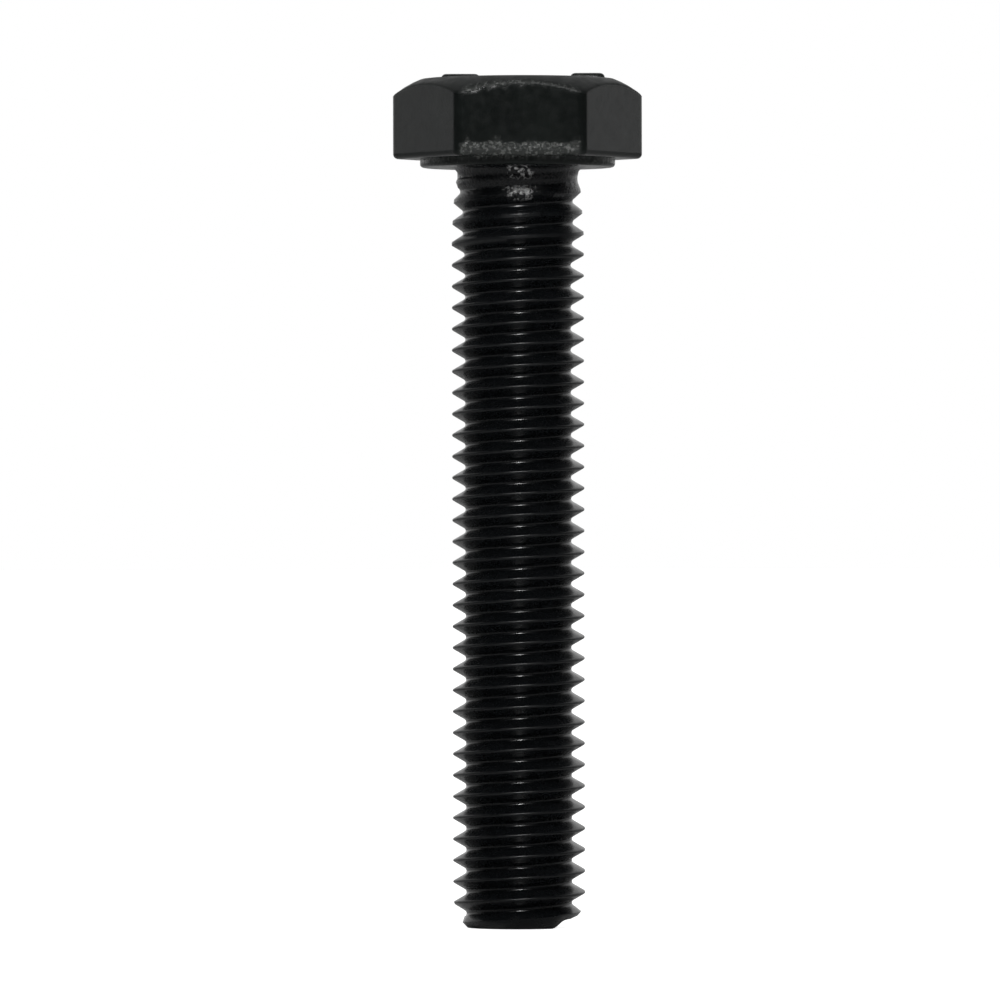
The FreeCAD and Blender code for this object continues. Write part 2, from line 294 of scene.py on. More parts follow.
@dataclass
class Head:
    """The hexagon with its chamfer, rounded corners, torn lower band and washer face."""

    across_flats: float
    across_corners: float
    height: float
    chamfer_circle: float = 11.25
    chamfer_slope: float = 0.353
    chamfer_bulge: float = 0.1315
    edge_rounding: float = 0.30
    washer_diameter: float = 11.50
    washer_height: float = 0.50
    washer_rounding: float = 0.22
    crease: float = 0.05
    torn_low: float = 0.56
    torn_high: float = 1.27
    torn_depth: float = 0.045
    ragged_edge: float = 0.12
    sheared_within: float = 0.92 * HALF_FLAT
    sheared_out_to: float = 0.99 * HALF_FLAT
    least_burr: float = 0.45
    burr_side: float = 0.24
    burr_reach: tuple = (0.20, 0.05)
    band_fade_low: tuple = (-0.10, 0.02)
    band_fade_high: tuple = (-0.06, 0.04)
    band_droop: float = 0.16
    droop_reach: tuple = (1.4, 0.6)
    # Painted sheen on the washer face's sides towards +X and -X, as lighter specks where grazing
    # reflections fall.
    washer_sheen: float = 0.35
    sheen_reach: tuple = (0.3, 0.85)
    steps_on_flat: int = 96
    steps_on_corner: int = 8

    @property
    def apothem(self) -> float:
        """Axis to flat."""
        return self.across_flats / 2.0

    @property
    def corner_rounding(self) -> float:
        """Radius on the upright corners, from how far they fall short of a sharp hexagon."""
        sharp = self.across_flats / math.cos(HALF_FLAT)
        return (sharp - self.across_corners) / (2.0 / math.cos(HALF_FLAT) - 2.0)

    def columns(self) -> np.ndarray:
        """Angles of the head's columns, evenly spaced along each flat and each corner.

        On a flat the places are even along its length x, at angle atan(x / apothem) from its
        middle. On a corner they are even along the arc about the corner's own centre.

        Returns:
            Rising angles from 0, which is a corner, to just under a full turn.
        """
        rounding = self.corner_rounding
        reach = (self.apothem - rounding) * math.tan(HALF_FLAT)
        along = np.linspace(-reach, reach, self.steps_on_flat + 1)[:-1]
        on_flat = np.arctan2(along, self.apothem)
        turn = np.linspace(-HALF_FLAT, HALF_FLAT, self.steps_on_corner + 1)[:-1]
        centre = (self.apothem - rounding) / math.cos(HALF_FLAT)
        on_corner = np.arctan2(rounding * np.sin(turn), centre + rounding * np.cos(turn))
        corner_then_flat = np.concatenate((on_corner, on_flat + HALF_FLAT))
        starts = np.arange(FLATS)[:, None] * 2.0 * HALF_FLAT
        return (starts + corner_then_flat).ravel()

    def outline(self, angle: np.ndarray, inset: float = 0.0) -> np.ndarray:
        """Radius of the rounded hexagon, drawn in by inset, at each angle from a corner.

        Along a flat it is apothem / cos(angle from the flat's middle). Round a corner it is
        where the ray meets the corner's circle.
        """
        apothem = self.apothem - inset
        rounding = self.corner_rounding - inset
        from_flat = np.mod(angle, 2.0 * HALF_FLAT) - HALF_FLAT
        flat_end = math.atan2((apothem - rounding) * math.tan(HALF_FLAT), apothem)
        centre = (apothem - rounding) / math.cos(HALF_FLAT)
        from_corner = HALF_FLAT - np.abs(from_flat)
        under = np.maximum(rounding ** 2 - (centre * np.sin(from_corner)) ** 2, 0.0)
        on_corner = centre * np.cos(from_corner) + np.sqrt(under)
        on_flat = apothem / np.cos(from_flat)
        return np.where(np.abs(from_flat) <= flat_end, on_flat, on_corner)

    def sheared(self, angle: np.ndarray) -> np.ndarray:
        """1 along the two flats that the trimming die sheared, which face +Y and -Y."""
        return smooth_step(math.cos(self.sheared_out_to), math.cos(self.sheared_within),
                           np.abs(np.sin(angle)))

    def chamfer_drop(self, outside: np.ndarray) -> np.ndarray:
        """How far the chamfer lies below the top, this far outside its circle.

        It is slope * d + bulge * d^2, a cone of about 30 degrees that bulges a little.
        """
        return outside * self.chamfer_slope + outside ** 2 * self.chamfer_bulge

    def burred(self, angle: np.ndarray) -> np.ndarray:
        """How much burr the chamfer's edge has: most on the -X half of the sheared flats."""
        towards_x = smooth_step(self.burr_side, -self.burr_side, np.cos(angle))
        return self.sheared(angle) * (self.least_burr + (1.0 - self.least_burr) * towards_x)

    def chamfer_edge(self, angle: np.ndarray) -> np.ndarray:
        """Height at which the chamfer's cone meets the side: a curve on each flat.

        On the sheared flats a ragged burr lowers it here and there, most towards -X.
        """
        outside = self.outline(angle) - self.chamfer_circle / 2.0
        along = around(self.apothem, angle, 0.0)
        burr = np.maximum(noise(along, 0.45, 8.0) + 0.9 * noise(along, 0.18, 9.0), -0.2) + 0.2
        ragged = self.ragged_edge * burr * self.burred(angle)
        return self.height - self.chamfer_drop(outside) - ragged

    def washer_rings(self, angle: np.ndarray) -> list:
        """Rings up the washer face: a rounded rim, its side and the way out to the hexagon."""
        radius = self.washer_diameter / 2.0
        bend = self.washer_rounding
        rings = []
        for turn in np.linspace(0.0, math.pi / 2.0, 5):
            rings.append((radius - bend * (1.0 - math.sin(turn)), bend * (1.0 - math.cos(turn))))
        rings.append((radius, self.washer_height - self.crease))
        rings.append((radius + self.crease, self.washer_height))
        inner = self.outline(angle, self.edge_rounding)
        for share in (0.35, 0.7):
            rings.append((radius + (inner - radius) * share, self.washer_height))
        return rings

    def side_rings(self, angle: np.ndarray) -> list:
        """Rings up the sides: the rounded lower edge, the torn band and the smooth flats."""
        bend = self.edge_rounding
        rings = []
        for turn in np.linspace(0.0, math.pi / 2.0, 6):
            drawn_in = bend * (1.0 - math.sin(turn))
            height = self.washer_height + bend * (1.0 - math.cos(turn))
            rings.append((self.outline(angle, drawn_in), height))
        side = self.outline(angle)
        bottom = self.washer_height + bend
        band = np.linspace(bottom, self.torn_high + 0.1, 11)[1:]
        rings += [(side, height) for height in band]
        top = self.chamfer_edge(angle) - self.crease
        for share in (0.12, 0.3, 0.5, 0.7, 0.88, 0.96, 1.0):
            rings.append((side, band[-1] + (top - band[-1]) * share))
        return rings

    def top_rings(self, angle: np.ndarray) -> list:
        """Rings over the top: the chamfer's cone and the flat face inside its circle."""
        circle = self.chamfer_circle / 2.0
        side = self.outline(angle)
        rings = []
        for share in (0.05, 0.35, 0.65, 0.95):
            radius = side + (circle - side) * share
            rings.append((radius, self.height - self.chamfer_drop(radius - circle)))
        for share in (0.985, 0.9, 0.7, 0.5, 0.3, 0.12):
            rings.append((circle * share, self.height))
        return rings

    def torn(self, places: np.ndarray) -> np.ndarray:
        """How torn the steel is: 1 in the lower band of a sheared flat and along its burr.

        The band's top is ragged, and its middle reaches lower than its ends. The washer
        face's side also gets lighter specks towards +X and -X: painted sheen, where grazing
        reflections fall there.
        """
        angle = np.arctan2(places[..., 1], places[..., 0])
        ragged = 0.10 * noise(places, 0.45, 3.0) + 0.05 * noise(places, 0.15, 4.0)
        height = places[..., 2] + ragged
        droop = smooth_step(*self.droop_reach, np.abs(places[..., 0]))
        low = self.torn_low - self.band_droop * droop
        rise = smooth_step(*(low + fade for fade in self.band_fade_low), height)
        fall = 1.0 - smooth_step(*(self.torn_high + f for f in self.band_fade_high), height)
        from_edge = np.abs(places[..., 2] - self.chamfer_edge(angle))
        burr = self.burred(angle) * smooth_step(*self.burr_reach, from_edge)
        # Painted sheen: the washer face's sides towards +X and -X get lighter specks.
        painted_side_sheen = self.washer_sheen * smooth_step(*self.sheen_reach, np.abs(np.cos(angle)))
        painted_side_sheen = painted_side_sheen * (places[..., 2] < self.washer_height)
        on_side = smooth_step(self.washer_diameter / 2.0 - 0.1, self.washer_diameter / 2.0,
                              np.hypot(places[..., 0], places[..., 1]))
        torn = np.maximum(rise * fall * self.sheared(angle), burr)
        return np.maximum(torn, painted_side_sheen) * on_side

    def build(self, parts: MeshParts) -> tuple:
        """Add the head to the bolt's surface, from the washer face's rim to the middle.

        Args:
            parts: the surface so far.

        Returns:
            The vertex numbers of its lowest ring, and the angles of its columns.
        """
        angle = self.columns()
        rings = self.washer_rings(angle) + self.side_rings(angle) + self.top_rings(angle)
        places = np.stack([around(radius, angle, height) for radius, height in rings])
        torn = self.torn(places)
        chips = noise(places, 0.13, 5.0) + 0.6 * noise(places, 0.07, 6.0)
        inward = self.torn_depth * torn * (0.9 + 0.7 * chips)
        radius = np.hypot(places[..., 0], places[..., 1])
        places[..., :2] *= (1.0 - inward / radius)[..., None]
        numbers = parts.add_places(places)
        pole = int(parts.add_places(np.array([[0.0, 0.0, self.height]]))[0])
        parts.add_faces(ring_quads(numbers), Surface.FORGED)
        parts.add_faces(pole_fan(numbers[-1], pole), Surface.FORGED)
        return numbers[0], angle


# ---- the shank


@dataclass
class Shank:
    """Neck, rolled thread with its run-out, and the chamfered point."""

    major: float
    length: float
    pitch: float = 1.25
    pitch_diameter: float = 6.90
    root_rounding: float = 0.20
    half_angle: float = math.radians(30.0)
    groove_start: float = 1.99
    runout_rise: float = 0.12
    shallow_rise: float = 0.13
    shallow_above: tuple = (-6.0, -3.5)
    runout_widening: float = 0.22
    runout_drop: float = 0.12
    neck_diameter: float = 7.07
    neck_length: float = 0.60
    neck_fillet: float = 0.50
    first_ridge: float = 0.95
    first_ridge_radius: float = 3.70
    full_thread_start: float = 4.00
    point_radius: float = 3.05
    point_chamfer: float = 0.43
    point_taper: float = 1.60
    crest_blend: float = 0.08
    neck_blend: float = 0.20
    neck_blend_above: tuple = (-3.2, -1.2)
    spread_on_face: float = 0.6
    steps_round: int = 120
    bevel_from: float = 1.85
    bevel_to: float = 2.75
    bevel_rise: float = 0.50
    bevel_reach: float = 0.95
    bevel_fill_above: tuple = (0.9, 0.3)
    bevel_fill_side: tuple = (0.5, 0.8)
    waviness: float = 0.005
    scale_relief: float = 0.014
    scale_above: tuple = (-2.4, -1.4)
    # Where painted glints go: bright specks towards -Y in the fillet and the first groove.
    glint_middle: float = 0.1
    glint_half_width: tuple = (0.85, 0.55)
    fillet_glints: tuple = (-0.62, -0.50)
    groove_glint_depth: float = 1.65
    groove_glint_reach: tuple = (0.40, 0.25)

    @property
    def sharp_radius(self) -> float:
        """Radius at which the groove's two flanks would meet in a point."""
        return self.pitch_diameter / 2.0 - self.pitch / (4.0 * math.tan(self.half_angle))

    @property
    def fillet_end(self) -> float:
        """Row height at which the fillet, unrolled, reaches the bearing face."""
        return self.neck_fillet * (math.pi / 2.0 - 1.0)

    def groove(self, angle: np.ndarray, height: np.ndarray) -> np.ndarray:
        """Radius of the nearest groove's wall: a round root between two straight flanks.

        With s the height above the groove's middle, the root is an arc of the rounding's
        radius and each flank is sharp_radius + |s| / tan(half angle). The first turns are a
        little shallow. Above them the groove rises, widens and drops with every turn, until
        it leaves the neck.

        Args:
            angle: angles about the axis.
            height: heights in millimetres.

        Returns:
            The radius of the groove's wall.
        """
        turns = angle / FULL_TURN
        strand = np.round((height + self.groove_start) / self.pitch - turns) + turns
        faded = np.maximum(strand, 0.0)
        middle = strand * self.pitch - self.runout_drop * faded
        away = np.abs(height + self.groove_start - middle)
        bend = self.root_rounding + self.runout_widening * faded
        touch = bend * math.cos(self.half_angle)
        centre = self.sharp_radius + bend / math.sin(self.half_angle)
        root = centre - np.sqrt(bend ** 2 - np.minimum(away, touch) ** 2)
        flank = self.sharp_radius + away / math.tan(self.half_angle)
        shallow = self.shallow_rise * smooth_step(*self.shallow_above, height)
        return np.where(away < touch, root, flank) + self.runout_rise * faded + shallow

    def blank(self, height: np.ndarray) -> np.ndarray:
        """Radius of the turned form: neck, first ridge, crests, taper and chamfer."""
        stations = (
            (-self.length, self.point_radius),
            (-self.length + self.point_chamfer, self.point_radius + self.point_chamfer),
            (-self.length + self.point_taper, self.major / 2.0),
            (-self.full_thread_start, self.major / 2.0),
            (-self.first_ridge, self.first_ridge_radius),
            (-self.neck_length, self.neck_diameter / 2.0),
        )
        heights, radii = zip(*stations)
        return np.interp(height, heights, radii)

    def section(self) -> np.ndarray:
        """Depths of the rows in one pitch below a groove's middle.

        They rise from 0. There is one row in the root, one in the middle of the crest, and
        some along each bend between them.
        """
        crest_edge = (self.major / 2.0 - self.sharp_radius) * math.tan(self.half_angle)
        bend = self.root_rounding
        in_root = bend * np.array([0.35, 0.65, 0.95])
        on_crest = crest_edge + np.array([-0.035, 0.0, 0.035])
        half = np.concatenate((in_root, on_crest))
        return np.concatenate(([0.0], half, [self.pitch / 2.0], self.pitch - half[::-1]))

    def row_heights(self) -> np.ndarray:
        """Row heights at angle 0, from the bearing face down past the point.

        The first row lies on the bearing face all the way round, and the last one on the
        flat end.
        """
        section = self.section()
        above = math.ceil(self.groove_start / self.pitch) + 1
        below = math.ceil(self.length / self.pitch) + 1
        starts = self.groove_start + self.pitch * np.arange(-above, below)
        rows = -(starts[:, None] + section).ravel()
        first = np.flatnonzero(rows > self.fillet_end)[-1]
        last = np.flatnonzero(rows < -self.length - self.pitch - self.crest_blend)[0]
        return rows[first:last + 1]

    def surface(self, angle: np.ndarray, row: np.ndarray) -> np.ndarray:
        """Places on the shank's surface.

        A row height between the fillet and the point is a height. Above it, the row climbs
        round the fillet's quarter circle and runs out over the bearing face. Below the
        point, it runs in over the flat end towards the axis.

        Args:
            angle: angles about the axis.
            row: unrolled heights along the surface.

        Returns:
            Positions in millimetres.
        """
        fillet = self.neck_fillet
        turn = np.clip((row + fillet) / fillet, 0.0, math.pi / 2.0)
        height = np.clip(row, -self.length, -fillet) + fillet * np.sin(turn)
        over_face = np.maximum(row - self.fillet_end, 0.0) * self.spread_on_face
        near_neck = smooth_step(*self.neck_blend_above, height)
        blend = self.crest_blend + (self.neck_blend - self.crest_blend) * near_neck
        near_end = smooth_step(*(above - self.length for above in self.bevel_fill_above), height)
        on_side = smooth_step(*self.bevel_fill_side, np.cos(angle))
        filled = self.bevel_rise * near_end * on_side
        radius = smooth_min(self.blank(height), self.groove(angle, height) + filled, blend)
        radius = np.where(over_face > 0.0, self.neck_diameter / 2.0, radius)
        radius = radius + fillet * (1.0 - np.cos(turn)) + over_face
        radius = radius * (1.0 - np.maximum(-self.length - row, 0.0) / self.point_radius)
        return self.bevel_end(self.roughen(around(radius, angle, height)))

    def roughen(self, places: np.ndarray) -> np.ndarray:
        """Places moved towards or from the axis by the steel's small unevenness.

        The neck, which the rolls never touched, is rougher than the thread.
        """
        neck = self.neck_scale(places)
        depth = self.waviness * noise(places, 0.9, 11.0)
        depth = depth + self.scale_relief * neck * noise(places, 0.12, 12.0)
        depth -= 0.004 + 0.010 * neck
        on_side = smooth_step(-self.length, -self.length + 0.3, places[..., 2])
        on_side *= 1.0 - smooth_step(-0.12, 0.0, places[..., 2])
        radius = np.hypot(places[..., 0], places[..., 1])
        moved = places.copy()
        moved[..., :2] *= (1.0 + depth * on_side / radius)[..., None]
        return moved

    def neck_scale(self, places: np.ndarray) -> np.ndarray:
        """How rough with scale the steel is: 1 under the head, 0 from the third crest on."""
        below_head = smooth_step(*self.scale_above, places[..., 2])
        return below_head * (1.0 - smooth_step(-0.02, 0.0, places[..., 2]))

    def bright_specks(self, places: np.ndarray) -> np.ndarray:
        """Painted glints, as bright specks towards -Y in the fillet and in the run-out's first
        groove.
        """
        aside = np.abs(places[..., 0] - self.glint_middle)
        in_fillet = smooth_step(*self.fillet_glints, places[..., 2])
        in_groove = smooth_step(*self.groove_glint_reach,
                                np.abs(places[..., 2] + self.groove_glint_depth))
        share = np.maximum(in_fillet, in_groove) * smooth_step(*self.glint_half_width, aside)
        return share * (places[..., 1] < 0.0) * (places[..., 2] < -0.01)

    def bevel_end(self, places: np.ndarray) -> np.ndarray:
        """Places with the end pushed up on its +X side, where the bar was cropped.

        The last stretch is squeezed upwards by a rise that grows smoothly with x.
        """
        moved = places.copy()
        rise = self.bevel_rise * smooth_step(self.bevel_from, self.bevel_to, places[..., 0])
        above_end = np.clip((places[..., 2] + self.length) / self.bevel_reach, 0.0, 1.0)
        moved[..., 2] += rise * (1.0 - above_end)
        return moved

    def build(self, parts: MeshParts, rim: np.ndarray, rim_angle: np.ndarray) -> None:
        """Add the shank to the bolt's surface, from the washer face's rim to the end.

        The sheet's rows climb one pitch a turn. So the right side of a row joins the left
        side of the row one pitch higher, and above the first row and below the last one
        the sheet ends in an upright seam.

        Args:
            parts: the surface so far.
            rim: vertex numbers of the head's lowest ring.
            rim_angle: the angles of that ring's vertices.
        """
        rows = self.row_heights()
        in_pitch = len(self.section())
        angle = np.arange(self.steps_round) * FULL_TURN / self.steps_round
        height = rows[:, None] + self.pitch * angle / FULL_TURN
        nearest = np.argmin(np.abs(height + self.length), axis=0)
        height[nearest, np.arange(self.steps_round)] = -self.length
        sheet = parts.add_places(self.surface(angle, height))
        seam = parts.add_places(self.surface(np.zeros(in_pitch), rows[:in_pitch] + self.pitch))
        right = np.concatenate((seam, sheet[:-in_pitch, 0]))
        grid = np.concatenate((sheet, right[:, None]), axis=1)
        quads = np.stack((grid[1:, :-1], grid[1:, 1:], grid[:-1, 1:], grid[:-1, :-1]), axis=-1)
        parts.add_faces(quads.reshape(-1, 4), Surface.ROLLED)
        self.join_to_head(parts, np.concatenate((seam, sheet[0])), rim, rim_angle)
        self.close_end(parts, np.concatenate((sheet[-1], sheet[-1 - in_pitch:-1, 0])))

    def spokes(self) -> tuple:
        """The step between the sheet's columns, their angles and the angles half-way on."""
        step = FULL_TURN / self.steps_round
        angle = step * np.arange(self.steps_round)
        return step, angle, angle + step / 2.0

    def join_to_head(self, parts: MeshParts, edge: np.ndarray, rim: np.ndarray,
                     rim_angle: np.ndarray) -> None:
        """Join the sheet's upper edge to a level ring on the bearing face, and that to the rim.

        Args:
            parts: the surface so far.
            edge: vertex numbers down the upper seam and along the first row.
            rim: vertex numbers of the head's lowest ring.
            rim_angle: the angles of that ring's vertices.
        """
        step, angle, middle = self.spokes()
        inner = self.neck_diameter / 2.0 + self.neck_fillet
        radius = inner + self.spread_on_face * (self.pitch + 4.0 * self.root_rounding)
        ring = parts.add_places(around(radius, angle, 0.0))
        seam_keys = middle[0] + step * np.linspace(0.01, 0.1, len(edge) - self.steps_round)
        edge_keys = np.concatenate((seam_keys, middle + 0.2 * step))
        parts.add_faces(stitch(edge, edge_keys, ring, middle), Surface.FORGED)
        rim_keys = rim_angle + np.diff(np.append(rim_angle, FULL_TURN)) / 2.0
        parts.add_faces(stitch(ring, middle, rim, rim_keys), Surface.FORGED)

    def close_end(self, parts: MeshParts, edge: np.ndarray) -> None:
        """Close the flat end with level rings and a middle vertex.

        Args:
            parts: the surface so far.
            edge: vertex numbers along the last row and down the lower seam.
        """
        step, angle, middle = self.spokes()
        seam_keys = middle[-1] - step * np.linspace(0.1, 0.01, len(edge) - self.steps_round)
        edge_keys = np.concatenate((middle - 0.2 * step, seam_keys))
        radii = self.point_radius * np.array([0.36, 0.24, 0.12])[:, None]
        rings = parts.add_places(self.bevel_end(around(radii, angle, -self.length)))
        parts.add_faces(stitch(rings[0], middle, edge, edge_keys), Surface.CROPPED)
        pole = int(parts.add_places(np.array([[0.0, 0.0, -self.length]]))[0])
        parts.add_faces(ring_quads(rings[::-1]), Surface.CROPPED)
        parts.add_faces(pole_fan(rings[-1, ::-1], pole), Surface.CROPPED)


# ---- the raised marks


@dataclass
class RaisedMark:
    """A plain raised bar on the head's top, which keeps the place of a stamped mark."""

    name: str
    inner: float
    outer: float
    rise: float
    width: float = 0.90
    sunk: float = 0.15
    edge: float = 0.29
    # Share of the mark under lighter bare specks: painted sheen, for the light that its rounded
    # edges would catch.
    wear_and_sheen: float = 0.5
    squareness: float = 4.0
    steps_round: int = 96

    def mesh(self, top: float) -> bpy.types.Mesh:
        """A closed slab on a head whose top is at this height, sunk a little into it.

        Its outline is a superellipse, |x / a|^n + |y / b|^n = 1, and its upper edge is a
        quarter circle.
        """
        turn = np.arange(self.steps_round) * FULL_TURN / self.steps_round
        power = 2.0 / self.squareness
        along = np.sign(np.cos(turn)) * np.abs(np.cos(turn)) ** power
        across = np.sign(np.sin(turn)) * np.abs(np.sin(turn)) ** power
        bend = np.linspace(0.0, math.pi / 2.0, 5)
        drawn_in = np.concatenate(([0.0], self.edge * (1.0 - np.cos(bend))))[:, None]
        height = np.concatenate(([-self.sunk], self.rise - self.edge + self.edge * np.sin(bend)))
        half_length = abs(self.outer - self.inner) / 2.0 - drawn_in
        half_width = self.width / 2.0 - drawn_in
        middle = (self.outer + self.inner) / 2.0
        x, y, z = np.broadcast_arrays(
            middle + half_length * along, half_width * across, top + height[:, None]
        )
        parts = MeshParts()
        rings = parts.add_places(np.stack((x, y, z), axis=-1))
        ends = np.array([[middle, 0.0, top + self.rise], [middle, 0.0, top - self.sunk]])
        upper, lower = (int(n) for n in parts.add_places(ends))
        parts.add_faces(ring_quads(rings), Surface.FORGED)
        parts.add_faces(pole_fan(rings[-1], upper), Surface.FORGED)
        parts.add_faces(pole_fan(rings[0, ::-1], lower), Surface.FORGED)
        return parts.mesh(self.name)


# ---- finishes


def socket(sockets: Sequence, name: str) -> bpy.types.NodeSocket:
    """The enabled socket of this name."""
    return next(s for s in sockets if s.name == name and s.enabled)


class NodeTree:
    """A small helper that places nodes and joins them."""

    def __init__(self, tree: bpy.types.NodeTree) -> None:
        """Take charge of a node tree."""
        self.tree = tree
        self.count = 0

    def node(self, kind: str, settings: Optional[dict] = None,
             inputs: Optional[dict] = None) -> bpy.types.Node:
        """Add one node.

        Args:
            kind: Blender's identifier of the node.
            settings: its properties.
            inputs: for each named input a value, or the output socket that feeds it.

        Returns:
            The new node.
        """
        node = self.tree.nodes.new(kind)
        node.location = (200.0 * self.count, 0.0)
        self.count += 1
        for key, value in (settings or {}).items():
            setattr(node, key, value)
        for name, value in (inputs or {}).items():
            target = node.inputs[name] if isinstance(name, int) else socket(node.inputs, name)
            if isinstance(value, bpy.types.NodeSocket):
                self.tree.links.new(value, target)
            else:
                target.default_value = value
        return node

    def maths(self, operation: str, first: object, second: object = 0.0) -> bpy.types.NodeSocket:
        """The result of one operation on two numbers or sockets."""
        node = self.node("ShaderNodeMath", {"operation": operation}, {0: first, 1: second})
        return node.outputs[0]

    def ramp(self, value: object, low: float, high: float, to_low: float,
             to_high: float) -> bpy.types.NodeSocket:
        """A value from low to high, moved smoothly on to the range to_low to to_high."""
        node = self.node("ShaderNodeMapRange", {"interpolation_type": "SMOOTHSTEP"}, {
            "Value": value, "From Min": low, "From Max": high, "To Min": to_low, "To Max": to_high,
        })
        return node.outputs[0]

    def noise(self, place: object, scale: object, detail: float = 2.0,
              rough: float = 0.5) -> bpy.types.NodeSocket:
        """Noise of this many cells a metre."""
        node = self.node("ShaderNodeTexNoise", {}, {
            "Vector": place, "Scale": scale, "Detail": detail, "Roughness": rough,
        })
        return node.outputs[0]

    def mix(self, share: object, first: object, second: object) -> bpy.types.NodeSocket:
        """Two colours mixed by a share."""
        node = self.node("ShaderNodeMix", {"data_type": "RGBA"}, {
            "Factor": share, "A": first, "B": second,
        })
        return socket(node.outputs, "Result")


def own_nodes(owner: bpy.types.ID) -> NodeTree:
    """The emptied node tree of a material or a world."""
    owner.use_nodes = True
    owner.node_tree.nodes.clear()
    return NodeTree(owner.node_tree)


def new_group(name: str, inputs: dict, outputs: dict) -> tuple:
    """An empty group with sockets of these kinds: its helper, input node and output node."""
    tree = bpy.data.node_groups.new(name, "ShaderNodeTree")
    for way, sockets in (("INPUT", inputs), ("OUTPUT", outputs)):
        for socket_name, kind in sockets.items():
            tree.interface.new_socket(socket_name, in_out=way, socket_type=kind.value)
    helper = NodeTree(tree)
    return helper, helper.node("NodeGroupInput"), helper.node("NodeGroupOutput")


def oxide_group() -> bpy.types.NodeTree:
    """Black oxide on steel, used by every finish: blotches, a fine grain and torn relief."""
    helper, given, result = new_group(
        "black_oxide",
        {"Dark": Kind.COLOUR, "Light": Kind.COLOUR, "Sheen": Kind.NUMBER,
         "Grain": Kind.NUMBER, "Torn": Kind.NUMBER},
        {"Colour": Kind.COLOUR, "Roughness": Kind.NUMBER, "Normal": Kind.VECTOR},
    )
    place = helper.node("ShaderNodeTexCoord").outputs["Object"]
    blotch = helper.noise(place, 420.0, 3.0, 0.6)
    grain = helper.noise(place, 9000.0, 3.0, 0.65)
    stain = helper.noise(place, 1700.0, 2.0, 0.6)
    chips = helper.noise(place, 6500.0, 2.0, 0.6)
    share = helper.maths("MULTIPLY", helper.ramp(blotch, 0.3, 0.7, 0.0, 1.0), 0.7)
    share = helper.maths("ADD", share, helper.ramp(grain, 0.35, 0.75, 0.0, 0.3))
    colour = helper.mix(share, given.outputs["Dark"], given.outputs["Light"])
    uneven = helper.ramp(stain, 0.3, 0.7, -0.05, 0.05)
    rough = helper.maths("ADD", given.outputs["Sheen"], uneven)
    fine = helper.maths("MULTIPLY", grain, given.outputs["Grain"])
    coarse = helper.maths("MULTIPLY", chips, given.outputs["Torn"])
    bump = helper.node("ShaderNodeBump", {}, {
        "Strength": 1.0, "Distance": RELIEF, "Height": helper.maths("ADD", fine, coarse),
    })
    helper.tree.links.new(colour, result.inputs["Colour"])
    helper.tree.links.new(rough, result.inputs["Roughness"])
    helper.tree.links.new(bump.outputs["Normal"], result.inputs["Normal"])
    return helper.tree


def wear_and_sheen_group() -> bpy.types.NodeTree:
    """Bare steel showing where a vertex mask says so, broken up by speckles: real wear, and also
    painted sheen and glints.
    """
    helper, given, result = new_group(
        "bare_steel_wear_and_sheen",
        {"Mask": Kind.NUMBER, "Colour": Kind.COLOUR, "Bare": Kind.COLOUR,
         "Fineness": Kind.NUMBER, "Cover": Kind.NUMBER},
        {"Colour": Kind.COLOUR},
    )
    place = helper.node("ShaderNodeTexCoord").outputs["Object"]
    speckle = helper.noise(place, given.outputs["Fineness"], 2.0, 0.6)
    broken = helper.ramp(speckle, 0.50, 0.64, given.outputs["Cover"], 1.0)
    bare_patches = helper.maths("MULTIPLY", given.outputs["Mask"], broken)
    colour = helper.mix(bare_patches, given.outputs["Colour"], given.outputs["Bare"])
    helper.tree.links.new(colour, result.inputs["Colour"])
    return helper.tree


@dataclass(frozen=True)
class BlackenedSteel:
    """One finish of the blackened steel.

    rough_mask says where its relief is torn by tear, and bare_mask where bare steel shows,
    in speckles over at least the share cover. Those specks are partly real wear and partly
    painted sheen and glints. Mask.DULL adds dulling to the roughness.
    """

    name: str
    dark: tuple
    light: tuple
    sheen: float
    grain: float
    bare: tuple
    rough_mask: Mask = Mask.TORN_AND_SHEEN
    bare_mask: Mask = Mask.TORN_AND_SHEEN
    tear: float = 1.0
    dulling: float = 0.0
    fineness: float = 6000.0
    cover: float = 0.0
    specular: float = 0.12

    def material(self, oxide: bpy.types.NodeTree, wear_and_sheen: bpy.types.NodeTree) -> bpy.types.Material:
        """Make the material of an oxide layer's group and of one for bare steel."""
        made = bpy.data.materials.new(self.name)
        made.diffuse_color = self.light
        helper = own_nodes(made)
        torn = helper.node("ShaderNodeAttribute", {"attribute_name": self.rough_mask.value})
        bare_share = helper.node("ShaderNodeAttribute", {"attribute_name": self.bare_mask.value})
        dull = helper.node("ShaderNodeAttribute", {"attribute_name": Mask.DULL.value})
        dulled = helper.maths("MULTIPLY", dull.outputs["Fac"], self.dulling)
        layer = helper.node("ShaderNodeGroup", {"node_tree": oxide}, {
            "Dark": self.dark, "Light": self.light, "Grain": self.grain,
            "Sheen": helper.maths("ADD", dulled, self.sheen),
            "Torn": helper.maths("MULTIPLY", torn.outputs["Fac"], self.tear),
        })
        bare_patches = helper.node("ShaderNodeGroup", {"node_tree": wear_and_sheen}, {
            "Mask": bare_share.outputs["Fac"], "Colour": layer.outputs["Colour"],
            "Bare": self.bare, "Fineness": self.fineness, "Cover": self.cover,
        })
        shader = helper.node("ShaderNodeBsdfPrincipled", {}, {
            "Base Color": bare_patches.outputs["Colour"],
            "Roughness": layer.outputs["Roughness"],
            "Normal": layer.outputs["Normal"],
            "Specular IOR Level": self.specular,
        })
        helper.node("ShaderNodeOutputMaterial", {}, {"Surface": shader.outputs["BSDF"]})
        return made
